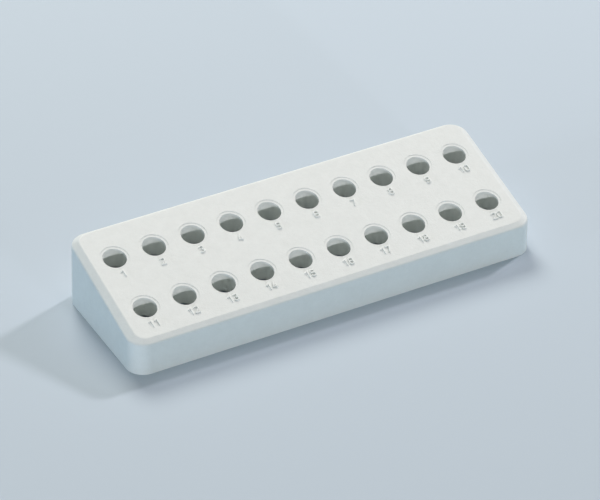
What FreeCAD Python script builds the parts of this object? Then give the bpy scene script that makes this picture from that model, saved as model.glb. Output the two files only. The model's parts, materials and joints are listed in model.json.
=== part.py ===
"""Microcentrifuge tube rack: one moulded wedge, open underneath, with two rows of tube holes.

Frame: millimetres. X runs along the rack, Y from the front wall to the rear wall and Z up.
The origin is the centre of the base, on the surface that the rack stands on.

How the form is built up
    outer    a drafted block, trimmed to the sloping top and its bevelled rim, edges softened
    core     the same form one wall thickness in, which is the hollow under the hole plate
    collars  a vertical sleeve under each hole
    bores    the vertical holes that the tubes drop into
    seats    the shallow round step at the mouth of each hole
The rack is the outer form less the core, plus the collars, less the bores and the seats.
"""

import FreeCAD, Part
import Sketcher
import math
import os

SIZES = [
    # alias, value, what it is
    ("length", 210.6, "base length along X"),
    ("width", 71.8, "base width along Y"),
    ("front_height", 17.3, "height of the sloping plane above the foot of the front wall"),
    ("slope", 14.5, "degrees that the hole plate rises towards the rear"),
    ("draft", 1.2, "degrees that each wall leans in, so that the moulding leaves its tool"),
    ("corner_radius", 8.8, "vertical corners, at the base"),
    ("wall", 2.5, "thickness of the walls and the hole plate"),
    ("bevel_angle", 34.0, "degrees from level of the bevel round the top"),
    ("bevel_front", 2.6, "width of the bevel in plan, along the front"),
    ("bevel_end", 3.45, "width of the bevel in plan, along both ends"),
    ("bevel_rear", 3.5, "width of the bevel in plan, along the rear"),
    ("top_corner_radius", 5.4, "corners of the flat top inside the bevel"),
    ("rim_radius", 1.2, "softened edge between the flat top and the bevel"),
    ("shoulder_radius", 1.2, "softened edge between the bevel and the walls"),
    ("columns", 10, "holes in a row"),
    ("pitch", 20.0, "hole to hole along a row"),
    ("row_gap", 30.6, "row to row, measured level"),
    ("row_shift", -1.25, "from the middle of the base to the middle of the two rows, along Y"),
    ("bore", 11.2, "diameter of a hole, for tubes 10.8 across"),
    ("collar_wall", 1.6, "thickness of the sleeve round a hole"),
    ("collar_depth", 10.1, "from the plate's surface straight down to a sleeve's lower end"),
    ("seat_margin", 1.25, "how far the step at a hole's mouth reaches past the hole, all round"),
    ("seat_depth", 0.22, "from the plate's surface straight down to the step"),
]
VALUE = {alias: value for alias, value, _ in SIZES}

doc = FreeCAD.newDocument("tube_rack")
sheet = doc.addObject("Spreadsheet::Sheet", "Sizes")
for row, (alias, value, meaning) in enumerate(SIZES, start=1):
    sheet.set(f"A{row}", alias)
    sheet.set(f"B{row}", str(value))
    sheet.set(f"C{row}", meaning)
    sheet.setAlias(f"B{row}", alias)
doc.recompute()


def size(formula):
    """The formula with each <alias> pointed at its cell in the sheet."""
    for alias in VALUE:
        formula = formula.replace(f"<{alias}>", f"Sizes.{alias}")
    return formula


# What the slope, the bevel and the draft do to the other sizes
RISE = "tan(<slope> * 1 deg)"
ALONG = "cos(<slope> * 1 deg)"
FALL = "tan(<bevel_angle> * 1 deg)"
REAR_HEIGHT = f"(<front_height> + <width> * {RISE})"
FRONT_LEAN = "<front_height> * tan(<draft> * 1 deg)"
REAR_LEAN = f"{REAR_HEIGHT} * tan(<draft> * 1 deg)"
END_LEAN = f"({FRONT_LEAN} + {REAR_LEAN}) / 2"
# The diameter of the step at a hole's mouth
SEAT = "(<bore> + 2 * <seat_margin>)"
# The crown is this many times as deep as the rack is tall, so that it passes the base all round
OVERREACH = 1.2
# A point this near to a plane, in millimetres, lies on it
TOUCH = 0.001


def base_sketch(body, name):
    """An empty sketch on the body's own level plane."""
    sketch = body.newObject("Sketcher::SketchObject", name)
    level = next(p for p in body.Origin.OriginFeatures if p.Role == "XY_Plane")
    sketch.AttachmentSupport = [(level, "")]
    sketch.MapMode = "FlatFace"
    return sketch


def bind(sketch, label, formula, *constraint):
    """Add one dimension to the sketch and tie it to a formula of the sheet."""
    number = sketch.addConstraint(Sketcher.Constraint(*constraint))
    sketch.renameConstraint(number, label)
    sketch.setExpression(f"Constraints.{label}", size(f"({formula}) * 1 mm"))


def rounded_outline(body, name, half_length, front, rear, radius, drop=None):
    """A closed outline, symmetric about the Y axis: four sides joined by four tangent arcs.

    half_length, front, rear and radius are formulas; front and rear are measured from the X axis.
    With drop, the outline lies in the sloping plane lowered by that much, and front and rear
    run along the slope. Without it, the outline lies on the base.
    """
    sketch = base_sketch(body, name)
    if drop is not None:
        height = f"<front_height> + <width> / 2 * {RISE} - ({drop})"
        sketch.setExpression("AttachmentOffset.Base.z", size(f"({height}) * 1 mm"))
        sketch.setExpression("AttachmentOffset.Rotation.Axis.x", "1")
        sketch.setExpression("AttachmentOffset.Rotation.Axis.z", "0")
        sketch.setExpression("AttachmentOffset.Rotation.Angle", size("<slope> * 1 deg"))
    # a first drawing of the outline, which its dimensions then pull to size
    x, y, r = 90.0, 30.0, 5.0
    point = FreeCAD.Vector
    sides = [
        Part.LineSegment(point(r - x, -y), point(x - r, -y)),
        Part.LineSegment(point(x, r - y), point(x, y - r)),
        Part.LineSegment(point(x - r, y), point(r - x, y)),
        Part.LineSegment(point(-x, y - r), point(-x, r - y)),
    ]
    centres = [point(x - r, r - y), point(x - r, y - r), point(r - x, y - r), point(r - x, r - y)]
    arcs = []
    for i, centre in enumerate(centres):
        circle = Part.Circle(centre, point(0, 0, 1), r)
        arcs.append(Part.ArcOfCircle(circle, (i - 1) * math.pi / 2, i * math.pi / 2))
    sketch.addGeometry(sides + arcs, False)
    start, end, axis_y = 1, 2, -2
    for i in range(4):
        sketch.addConstraint(Sketcher.Constraint("Tangent", i, end, 4 + i, start))
        sketch.addConstraint(Sketcher.Constraint("Tangent", 4 + i, end, (i + 1) % 4, start))
    sketch.addConstraint(Sketcher.Constraint("Symmetric", 0, start, 0, end, axis_y))
    sketch.addConstraint(Sketcher.Constraint("Vertical", 1))
    sketch.addConstraint(Sketcher.Constraint("Horizontal", 2))
    sketch.addConstraint(Sketcher.Constraint("Vertical", 3))
    for i in (5, 6, 7):
        sketch.addConstraint(Sketcher.Constraint("Equal", 4, i))
    bind(sketch, "reach", half_length, "DistanceX", -1, start, 1, start, x)
    bind(sketch, "front", front, "DistanceY", 0, start, -1, start, y)
    bind(sketch, "rear", rear, "DistanceY", -1, start, 2, start, y)
    bind(sketch, "corner", radius, "Radius", 4, r)
    return sketch


def raised(body, outline, name, height, lean="0"):
    """The outline raised by a height, each side leaning in by some degrees."""
    pad = body.newObject("PartDesign::Pad", name)
    pad.Profile = outline
    pad.setExpression("Length", size(f"({height}) * 1 mm"))
    pad.setExpression("TaperAngle", size(f"-({lean}) * 1 deg"))
    return pad


def wedge(name, inset):
    """A body of the rack's form with every face moved in by inset.

    The walls are a drafted block. The top is a ruled loft from the flat top's outline down to a
    wider outline in a parallel plane, so each side of it falls at the bevel's angle from level.
    The form is what the two share. Moving two planes in by a distance shifts the corner between
    them by that distance times the tangent of half the angle between them.
    """
    crown = doc.addObject("PartDesign::Body", f"{name}_crown")
    end_shift = f"{inset} * tan(<bevel_angle> / 2 * 1 deg)"
    front_shift = f"{inset} * tan((<bevel_angle> - <slope>) / 2 * 1 deg)"
    rear_shift = f"{inset} * tan((<bevel_angle> + <slope>) / 2 * 1 deg)"
    top = (
        f"<length> / 2 - {END_LEAN} - <bevel_end> - {end_shift}",
        f"(<width> / 2 - {FRONT_LEAN} - <bevel_front>) / {ALONG} - {front_shift}",
        f"(<width> / 2 - {REAR_LEAN} - <bevel_rear>) / {ALONG} - {rear_shift}",
        f"<top_corner_radius> - {end_shift}",
    )
    depth = f"{OVERREACH} * {REAR_HEIGHT}"
    spread = (
        f"{depth} / {FALL}",
        f"{depth} / ({FALL} - {RISE}) / {ALONG}",
        f"{depth} / ({FALL} + {RISE}) / {ALONG}",
        f"{depth} / {FALL}",
    )
    foot = [f"{a} + {b}" for a, b in zip(top, spread)]
    drop = f"{inset} / {ALONG}"
    upper = rounded_outline(crown, f"{name}_top", *top, drop=drop)
    lower = rounded_outline(crown, f"{name}_foot", *foot, drop=f"{drop} + {depth}")
    loft = crown.newObject("PartDesign::AdditiveLoft", f"{name}_bevels")
    loft.Profile = lower
    loft.Sections = [upper]
    loft.Ruled = True

    body = doc.addObject("PartDesign::Body", name)
    half_width = f"<width> / 2 - {inset}"
    sides = (f"<length> / 2 - {inset}", half_width, half_width, f"<corner_radius> - {inset}")
    outline = rounded_outline(body, f"{name}_outline", *sides)
    raised(body, outline, f"{name}_walls", REAR_HEIGHT, "<draft>")
    shared = body.newObject("PartDesign::Boolean", f"{name}_form")
    shared.Type = "Common"
    shared.setObjects([crown])
    body.Tip = shared
    doc.recompute()
    return body


def below_top(point):
    """How far a point lies below the sloping plane, measured straight down."""
    rise = (point.y + VALUE["width"] / 2) * math.tan(math.radians(VALUE["slope"]))
    return VALUE["front_height"] + rise - point.z


def on_rim(edge):
    """True for an edge of the flat top."""
    return all(abs(below_top(v.Point)) < TOUCH for v in edge.Vertexes)


def on_shoulder(edge):
    """True for an edge where the bevel meets a wall: clear of the flat top and of the base."""
    return all(below_top(v.Point) > TOUCH and v.Point.z > TOUCH for v in edge.Vertexes)


def soften(body, name, radius, wanted):
    """Round the edges of the body's form that the test picks."""
    form = body.Tip
    edges = [f"Edge{i}" for i, edge in enumerate(form.Shape.Edges, start=1) if wanted(edge)]
    fillet = body.newObject("PartDesign::Fillet", name)
    fillet.Base = (form, edges)
    fillet.setExpression("Radius", size(f"{radius} * 1 mm"))
    body.Tip = fillet
    doc.recompute()


def layer(name, lower, upper):
    """A body between two planes parallel to the plate: lower and upper are depths below it."""
    body = doc.addObject("PartDesign::Body", name)
    half_width = f"<width> / 2 / {ALONG}"
    sides = ("<length> / 2", half_width, half_width, "<corner_radius>")
    outline = rounded_outline(body, f"{name}_outline", *sides, drop=lower)
    raised(body, outline, f"{name}_thickness", f"({lower} - {upper}) * {ALONG}")
    return body


def pins(name, diameter):
    """A body of upright pins, one on the axis of each hole."""
    body = doc.addObject("PartDesign::Body", name)
    body.AllowCompound = True
    sketch = base_sketch(body, f"{name}_circles")
    for i, side in enumerate("-+"):
        # a first drawing, as for the outline
        x, y, r = -90.0, (2 * i - 1) * 15.0, 5.0
        sketch.addGeometry(Part.Circle(FreeCAD.Vector(x, y), FreeCAD.Vector(0, 0, 1), r), False)
        start, centre = 1, 3
        along = "(1 - <columns>) / 2 * <pitch>"
        across = f"<row_shift> {side} <row_gap> / 2"
        bind(sketch, f"along_{i}", along, "DistanceX", -1, start, i, centre, x)
        bind(sketch, f"across_{i}", across, "DistanceY", -1, start, i, centre, y)
        bind(sketch, f"radius_{i}", f"{diameter} / 2", "Radius", i, r)
    first = raised(body, sketch, f"{name}_first", REAR_HEIGHT)
    rows = body.newObject("PartDesign::LinearPattern", f"{name}_rows")
    rows.Originals = [first]
    rows.Direction = (sketch, ["H_Axis"])
    rows.setExpression("Length", size("(<columns> - 1) * <pitch> * 1 mm"))
    rows.setExpression("Occurrences", size("<columns>"))
    body.Tip = rows
    return body


def combined(kind, name, *parts):
    """A common or a fusion of several objects."""
    result = doc.addObject(f"Part::{kind}", name)
    result.Shapes = list(parts)
    return result


def less(name, base, tool):
    """The base with the tool cut out of it."""
    result = doc.addObject("Part::Cut", name)
    result.Base = base
    result.Tool = tool
    return result


# The shell: outer form less the hollow
outer = wedge("outer", "0")
soften(outer, "soft_shoulder", "<shoulder_radius>", on_shoulder)
soften(outer, "soft_rim", "<rim_radius>", on_rim)
core = wedge("core", "<wall>")
shell = less("shell", outer, core)

# The holes: sleeves that start inside the plate, then bores and seats cut through both
sleeves = pins("sleeve_pins", "(<bore> + 2 * <collar_wall>)")
inside_plate = "<wall> / 2"
collars = combined("MultiCommon", "collars", sleeves, layer("below_plate", "<collar_depth>", inside_plate))
bores = pins("bore_pins", "<bore>")
steps = pins("seat_pins", SEAT)
well_above = f"(-{SEAT})"
seats = combined("MultiCommon", "seats", steps, layer("above_seats", "<seat_depth>", well_above))
joined = combined("MultiFuse", "shell_and_collars", shell, collars)
cutters = combined("MultiFuse", "bores_and_seats", bores, seats)
rack = less("rack", joined, cutters)
doc.recompute()

# Nothing is written unless every step came out whole
for item in doc.Objects:
    assert not {"Invalid", "Error"} & set(item.State), f"{item.Label} failed: {item.State}"
for item in (outer, core, shell, collars, bores, seats, joined, cutters, rack):
    assert not item.Shape.isNull() and item.Shape.isValid(), f"{item.Label} has no sound shape"
assert len(rack.Shape.Solids) == 1, "the rack is not one solid"

os.makedirs("parts", exist_ok=True)
rack.Shape.exportStep(f"parts/{rack.Label}.step")
print(f"{rack.Label}: {rack.Shape.Volume / 1000:.2f} cm3, {len(rack.Shape.Faces)} faces")
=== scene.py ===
"""A microcentrifuge tube rack: one white polypropylene moulding with a sloping, numbered hole plate.

Everything is in metres. X runs along the rack, Y from the front wall to the rear wall, Z is up,
and the origin is the centre of the base.
"""

import bpy
import json
import math
import numpy as np
from mathutils import Matrix, Quaternion, Vector


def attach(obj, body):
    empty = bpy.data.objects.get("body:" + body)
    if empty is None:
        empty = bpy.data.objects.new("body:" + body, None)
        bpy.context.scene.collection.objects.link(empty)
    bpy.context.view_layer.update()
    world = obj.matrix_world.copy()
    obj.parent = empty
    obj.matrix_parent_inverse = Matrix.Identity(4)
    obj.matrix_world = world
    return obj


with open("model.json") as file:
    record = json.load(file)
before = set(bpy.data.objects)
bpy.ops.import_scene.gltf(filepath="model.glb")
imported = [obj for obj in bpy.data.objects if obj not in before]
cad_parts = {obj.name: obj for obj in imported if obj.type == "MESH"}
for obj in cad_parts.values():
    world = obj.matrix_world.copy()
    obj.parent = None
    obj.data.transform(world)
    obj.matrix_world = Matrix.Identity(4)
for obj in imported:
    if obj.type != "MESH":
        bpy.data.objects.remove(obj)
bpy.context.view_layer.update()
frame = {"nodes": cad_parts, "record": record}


# ---- The moulding -------------------------------------------------------------------------------
# One shot of white polypropylene: walls, hole plate, sleeves and seats together. The tool was
# lightly spark-eroded, so the skin is satin, with a faint cloudiness where the melt has flowed.

darker_cloud = (0.750, 0.775, 0.752, 1)
lighter_cloud = (0.796, 0.822, 0.799, 1)
smoothest, roughest = 0.42, 0.54
ripple_height = 0.2e-3
grain_height = 0.3e-3


def moulded_plastic(name):
    """White polypropylene: cloudy by a few hundredths in colour, finely grained and slowly rippled.

    Every pattern is a fractal noise, a sum of octaves of smooth random values. Each octave is twice
    as fine as the one before, and weaker by the factor called roughness.
    """
    material = bpy.data.materials.new(name)
    material.use_nodes = True
    nodes, links = material.node_tree.nodes, material.node_tree.links
    shader = nodes["Principled BSDF"]
    shader.inputs["IOR"].default_value = 1.49
    shader.inputs["Specular IOR Level"].default_value = 0.45
    place = nodes.new("ShaderNodeTexCoord")

    def noise(per_metre, detail, roughness=0.5):
        texture = nodes.new("ShaderNodeTexNoise")
        texture.inputs["Scale"].default_value = per_metre
        texture.inputs["Detail"].default_value = detail
        texture.inputs["Roughness"].default_value = roughness
        links.new(place.outputs["Object"], texture.inputs["Vector"])
        return texture.outputs["Fac"]

    clouds = nodes.new("ShaderNodeValToRGB")
    dark_end, light_end = clouds.color_ramp.elements
    dark_end.position = 0.3
    dark_end.color = darker_cloud
    light_end.position = 0.7
    light_end.color = lighter_cloud
    links.new(noise(per_metre=180, detail=5, roughness=0.8), clouds.inputs["Fac"])
    links.new(clouds.outputs["Color"], shader.inputs["Base Color"])

    satin = nodes.new("ShaderNodeMapRange")
    satin.inputs["To Min"].default_value = smoothest
    satin.inputs["To Max"].default_value = roughest
    links.new(noise(per_metre=260, detail=2), satin.inputs["Value"])
    links.new(satin.outputs["Result"], shader.inputs["Roughness"])

    ripple = nodes.new("ShaderNodeBump")
    ripple.inputs["Strength"].default_value = 0.25
    ripple.inputs["Distance"].default_value = ripple_height
    links.new(noise(per_metre=140, detail=1), ripple.inputs["Height"])
    grain = nodes.new("ShaderNodeBump")
    grain.inputs["Strength"].default_value = 0.5
    grain.inputs["Distance"].default_value = grain_height
    links.new(noise(per_metre=500, detail=4, roughness=0.75), grain.inputs["Height"])
    links.new(ripple.outputs["Normal"], grain.inputs["Normal"])
    links.new(grain.outputs["Normal"], shader.inputs["Normal"])
    return material


polypropylene = moulded_plastic("white_polypropylene")
rack = frame["nodes"]["rack"]
rack.data.materials.clear()
rack.data.materials.append(polypropylene)


# ---- The raised numbers -------------------------------------------------------------------------
# A number from 1 to 20 stands in front of each hole, part of the same moulding. The toolmaker cut
# them with a round-nosed cutter, so every stroke is a soft ridge with rounded ends.

stroke_width = 0.62e-3
stroke_height = 0.54e-3
digit_height = 3.55e-3       # middle of the top stroke to middle of the bottom one
digit_width = 2.05e-3        # middle of the left stroke to middle of the right one
digit_step = 2.9e-3          # from one digit of a number to the next
hole_to_number = 10.0e-3     # down the slope, from the hole's centre to the number's middle
number_shift = 0.3e-3        # how far the numbers sit to the left of their holes
degrees_per_point = 15       # on a stroke's curves
shortest_run = 1e-7          # points nearer than this are one point
sharpest_corner = 0.5        # cosine of half the turn, past which a corner is widened no more
fullness = 0.5               # of a stroke's section: 1 would be round, and 0 square
points_round = 16            # of a stroke's section
end_rings = 4                # between a stroke's last point and its rounded tip
end_turn = 85                # degrees, just short of 90, so that the tip is a small flat face
overhead = 1.0               # height from which the plate is looked for


def curve(cx, cy, rx, ry, start, end):
    """Points round an ellipse: the centre plus cosine and sine of an even run of angles."""
    count = max(3, int(abs(end - start) / degrees_per_point) + 1)
    turn = np.radians(np.linspace(start, end, count))
    return np.stack([cx + rx * np.cos(turn), cy + ry * np.sin(turn)], axis=1)


def skeletons():
    """The middle lines of each digit's strokes, in a box one wide and two high about its centre."""
    def line(*points):
        return np.array(points, float)

    def oval(cy, ry, rx=0.5):
        return curve(0, cy, rx, ry, 90, 450)

    zero = [
        np.concatenate([
            curve(0, 0.5, 0.5, 0.5, 0, 180),
            curve(0, -0.5, 0.5, 0.5, 180, 360),
            line((0.5, 0.5)),
        ]),
    ]
    two = [
        np.concatenate([curve(0, 0.48, 0.5, 0.52, 165, -25), line((-0.5, -1.0), (0.5, -1.0))]),
    ]
    five = [
        np.concatenate([
            line((0.45, 1.0), (-0.4, 1.0), (-0.45, 0.05)),
            curve(0, -0.4, 0.5, 0.6, 130, -150),
        ]),
    ]
    six = [
        np.concatenate([curve(0, 0.5, 0.5, 0.5, 25, 180), curve(0, -0.48, 0.5, 0.52, 180, 180)]),
        oval(-0.45, 0.55),
    ]
    return {
        "0": zero,
        "1": [line((-0.35, 0.5), (0.2, 1.0), (0.2, -1.0))],
        "2": two,
        "3": [curve(0, 0.52, 0.46, 0.48, 155, -90), curve(0, -0.48, 0.5, 0.52, 90, -155)],
        "4": [line((0.1, 1.0), (-0.5, -0.5), (0.55, -0.5)), line((0.25, 0.1), (0.25, -1.0))],
        "5": five,
        "6": six,
        "7": [line((-0.5, 1.0), (0.5, 1.0), (-0.2, -1.0))],
        "8": [oval(0.53, 0.47, 0.44), oval(-0.47, 0.53)],
        "9": [-stroke for stroke in six],
    }


def fuller(wave):
    """A sine or cosine pushed out towards one: its size raised to the fullness, its sign kept."""
    return np.sign(wave) * np.abs(wave) ** fullness


def ridge(path):
    """A rounded bar along a flat path, half of it sunk in the plate.

    Across the path the section is a superellipse: the cosine and sine of the angle, each raised
    to the fullness, times half the width and the height. At both ends the section shrinks by the
    cosine of a quarter turn while it moves on by the sine, which closes the bar with a rounded end.
    """
    closed = np.allclose(path[0], path[-1])
    keep = np.append(True, np.linalg.norm(np.diff(path, axis=0), axis=1) > shortest_run)
    path = path[keep]
    if closed:
        path = path[:-1]
        ahead, behind = np.roll(path, -1, axis=0), np.roll(path, 1, axis=0)
    else:
        ahead = np.vstack([path[1:], 2 * path[-1] - path[-2]])
        behind = np.vstack([2 * path[0] - path[1], path[:-1]])
    into, out = path - behind, ahead - path
    into /= np.linalg.norm(into, axis=1, keepdims=True)
    out /= np.linalg.norm(out, axis=1, keepdims=True)
    along = into + out
    along /= np.linalg.norm(along, axis=1, keepdims=True)
    mitre = 1 / np.maximum((along * out).sum(axis=1), sharpest_corner)
    centre, scale = path, np.ones(len(path))
    if not closed:
        quarter = np.radians(np.linspace(0, end_turn, end_rings + 1)[1:])
        reach, shrink = np.sin(quarter) * stroke_width / 2, np.cos(quarter)
        first = path[0] - along[0] * reach[::-1, None]
        last = path[-1] + along[-1] * reach[:, None]
        centre = np.vstack([first, path, last])
        along = np.vstack([
            np.repeat(along[:1], end_rings, 0),
            along,
            np.repeat(along[-1:], end_rings, 0),
        ])
        mitre = np.concatenate([np.ones(end_rings), mitre, np.ones(end_rings)])
        scale = np.concatenate([shrink[::-1], scale, shrink])

    angle = np.linspace(0, 2 * np.pi, points_round, endpoint=False)
    across = fuller(np.cos(angle)) * stroke_width / 2
    height = fuller(np.sin(angle)) * stroke_height
    side = np.stack([along[:, 1], -along[:, 0]], axis=1)
    spread = across[None, :] * (scale * mitre)[:, None]
    flat = centre[:, None, :] + side[:, None, :] * spread[..., None]
    raised = height[None, :] * scale[:, None]
    points = np.concatenate([flat, raised[..., None]], axis=2)

    rows, columns = points.shape[:2]
    row = np.arange(rows if closed else rows - 1)[:, None]
    column = np.arange(columns)[None, :]
    near, far = row * columns, (row + 1) % rows * columns
    beside = (column + 1) % columns
    corners = [near + column, near + beside, far + beside, far + column]
    faces = [np.stack(corners, axis=-1).reshape(-1, 4)]
    if not closed:
        tip = np.arange(columns)
        faces.append(np.stack([tip[::-1], (rows - 1) * columns + tip]))
    return points.reshape(-1, 3), faces


def number_mesh(name, digits):
    """The ridges of every digit side by side, about the middle of the number."""
    strokes = skeletons()
    points, faces = [], []
    for i, digit in enumerate(digits):
        shift = (i - (len(digits) - 1) / 2) * digit_step
        for skeleton in strokes[digit]:
            path = skeleton * (digit_width, digit_height / 2) + (shift, 0)
            new_points, new_faces = ridge(path)
            before = sum(len(done) for done in points)
            for group in new_faces:
                faces += (group + before).tolist()
            points.append(new_points)
    mesh = bpy.data.meshes.new(name)
    mesh.from_pydata(np.concatenate(points).tolist(), [], faces)
    mesh.polygons.foreach_set("use_smooth", np.ones(len(mesh.polygons), bool))
    return mesh


for mount in frame["record"]["mounts"]:
    if mount["kind"] != "bore":
        continue
    digits = str(int(mount["name"].split("_")[-1]))
    x, y = mount["pos_m"][:2]
    plumb = Vector((x - number_shift, y - hole_to_number, overhead))
    spot, normal = rack.ray_cast(plumb, Vector((0, 0, -1)))[1:3]
    up_slope = normal.cross(Vector((1, 0, 0)))
    place = Matrix((Vector((1, 0, 0)), up_slope, normal)).transposed().to_4x4()
    # The ray was set off from the hole on the level, which is a little too far down the slope.
    slope = math.atan2(up_slope.z, up_slope.y)
    spot = spot + up_slope * (hole_to_number / math.cos(slope) - hole_to_number)
    mesh = number_mesh(f"number_{digits}", digits)
    mesh.transform(Matrix.Translation(spot) @ place)
    mesh.materials.append(polypropylene)
    number = bpy.data.objects.new(f"number_{digits}", mesh)
    bpy.context.scene.collection.objects.link(number)
    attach(number, "root")


# ---- The bench it stands on ---------------------------------------------------------------------
# A plain matt board that runs out past every edge of the view. It is pale to look at, and the
# light that it sends back up to the rack's walls is the blue of a laboratory bench.

board_half = 3.0
seen_colour = (0.50, 0.58, 0.65, 1)
bounced_colour = (0.18, 0.38, 0.54, 1)


def bench_paint(name):
    """Matt paint: the seen colour for the eye and for reflections, the bounced one for all else."""
    material = bpy.data.materials.new(name)
    material.use_nodes = True
    nodes, links = material.node_tree.nodes, material.node_tree.links
    shader = nodes["Principled BSDF"]
    shader.inputs["Roughness"].default_value = 0.7
    ray = nodes.new("ShaderNodeLightPath")
    looked_at = nodes.new("ShaderNodeMath")
    looked_at.operation = "MAXIMUM"
    links.new(ray.outputs["Is Camera Ray"], looked_at.inputs[0])
    links.new(ray.outputs["Is Glossy Ray"], looked_at.inputs[1])
    colours = nodes.new("ShaderNodeValToRGB")
    bounced, seen = colours.color_ramp.elements
    bounced.color = bounced_colour
    seen.color = seen_colour
    links.new(looked_at.outputs["Value"], colours.inputs["Fac"])
    links.new(colours.outputs["Color"], shader.inputs["Base Color"])
    return material


board = bpy.data.meshes.new("board")
corners = [(-board_half, -board_half, 0), (board_half, -board_half, 0),
           (board_half, board_half, 0), (-board_half, board_half, 0)]
board.from_pydata(corners, [], [(0, 1, 2, 3)])
board.materials.append(bench_paint("pale_paint"))
floor = bpy.data.objects.new("board", board)
bpy.context.scene.collection.objects.link(floor)


# ---- Studio light -------------------------------------------------------------------------------
# A small key lamp on the right, and a broad soft one behind that throws a shadow forward. Two low
# lamps light the front and left walls, with no gloss on the plate. An overhead lamp and a dim sky
# fill in the rest.

centre = Vector((0, 0, 0.02))


def lamp(name, azimuth, elevation, distance, width, watts, colour, glossy=True):
    """A round panel that faces the rack, placed by its distance and its two angles in degrees.

    The azimuth is measured from +X towards +Y. A lamp that isn't glossy lights the rack without
    being reflected in it.
    """
    around, up = math.radians(azimuth), math.radians(elevation)
    outward = Vector((math.cos(around) * math.cos(up), math.sin(around) * math.cos(up), math.sin(up)))
    data = bpy.data.lights.new(name, "AREA")
    data.shape = "DISK"
    data.size = width
    data.energy = watts
    data.color = colour
    item = bpy.data.objects.new(name, data)
    item.location = centre + outward * distance
    item.rotation_euler = outward.to_track_quat("Z", "Y").to_euler()
    item.visible_glossy = glossy
    bpy.context.scene.collection.objects.link(item)


lamp("key", azimuth=18, elevation=34, distance=2.4, width=0.25, watts=23.6, colour=(1.0, 0.93, 0.97))
lamp("behind", azimuth=80, elevation=42, distance=2.2, width=1.0, watts=31, colour=(1.0, 0.97, 0.92))
lamp("front", azimuth=-87, elevation=5, distance=2.6, width=0.16, watts=26.8, colour=(0.97, 0.95, 1.0),
     glossy=False)
lamp("left", azimuth=180, elevation=6, distance=2.2, width=0.4, watts=17.4, colour=(0.84, 0.88, 1.0),
     glossy=False)
lamp("overhead", azimuth=90, elevation=86, distance=2.0, width=1.2, watts=9.5, colour=(1.0, 0.89, 0.94))

world = bpy.data.worlds.new("sky")
world.use_nodes = True
sky = world.node_tree.nodes["Background"]
sky.inputs["Color"].default_value = (0.67, 1.0, 0.86, 1)
sky.inputs["Strength"].default_value = 0.127
bpy.context.scene.world = world


# ---- Camera -------------------------------------------------------------------------------------
# A long lens at the front left and above, 1.6 m away and turned a hair off level. The azimuth is
# measured from straight in front. The target is just above the front of the plate, left of centre.

azimuth, elevation, roll = math.radians(-28.997), math.radians(35.887), math.radians(0.617)
target = Vector((-0.014503, -0.024142, 0.025))
distance = 1.5926
focal_length = 208.81        # millimetres, behind a frame 36 mm wide
frame_width = 36
upward_shift = 0.025         # of the frame's width

away = Vector((math.sin(azimuth) * math.cos(elevation), -math.cos(azimuth) * math.cos(elevation),
               math.sin(elevation)))
camera_data = bpy.data.cameras.new("camera")
camera_data.sensor_width = frame_width
camera_data.lens = focal_length
camera_data.shift_y = upward_shift
camera = bpy.data.objects.new("camera", camera_data)
camera.location = target + away * distance
camera.rotation_euler = (away.to_track_quat("Z", "Y") @ Quaternion((0, 0, 1), roll)).to_euler()
bpy.context.scene.collection.objects.link(camera)
bpy.context.scene.camera = camera

bpy.context.scene.view_settings.view_transform = "Standard"
